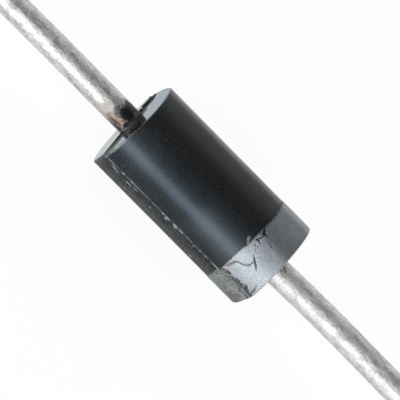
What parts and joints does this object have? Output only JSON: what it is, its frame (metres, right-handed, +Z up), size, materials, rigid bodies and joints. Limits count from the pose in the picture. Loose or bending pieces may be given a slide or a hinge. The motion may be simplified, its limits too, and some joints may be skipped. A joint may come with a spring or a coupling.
{
  "type": "axial rectifier diode",
  "caption": "Axial rectifier diode: black moulded epoxy cylinder with a silver-grey cathode band and a straight tinned copper lead out of each end.",
  "frame": {"origin": "middle of the moulded body, on the line of the two leads", "axes": "+X along the leads towards the banded cathode end; +Z up, square to the mould's parting plane, with the diode lying on its side"},
  "size_m": [0.06, 0.0028, 0.0028],
  "materials": {
    "moulding_compound": "satin",
    "band_ink": "satin",
    "tinned_copper": "satin",
    "silicon": "polished",
    "solder": "satin",
    "silicone": "gloss"
  },
  "bodies": {
    "root": {"epoxy_body": "moulding_compound", "cathode_band": "band_ink", "anode_lead": "tinned_copper", "cathode_lead": "tinned_copper", "silicon_die": "silicon", "anode_solder": "solder", "cathode_solder": "solder", "junction_coating": "silicone"}
  },
  "joints": []
}
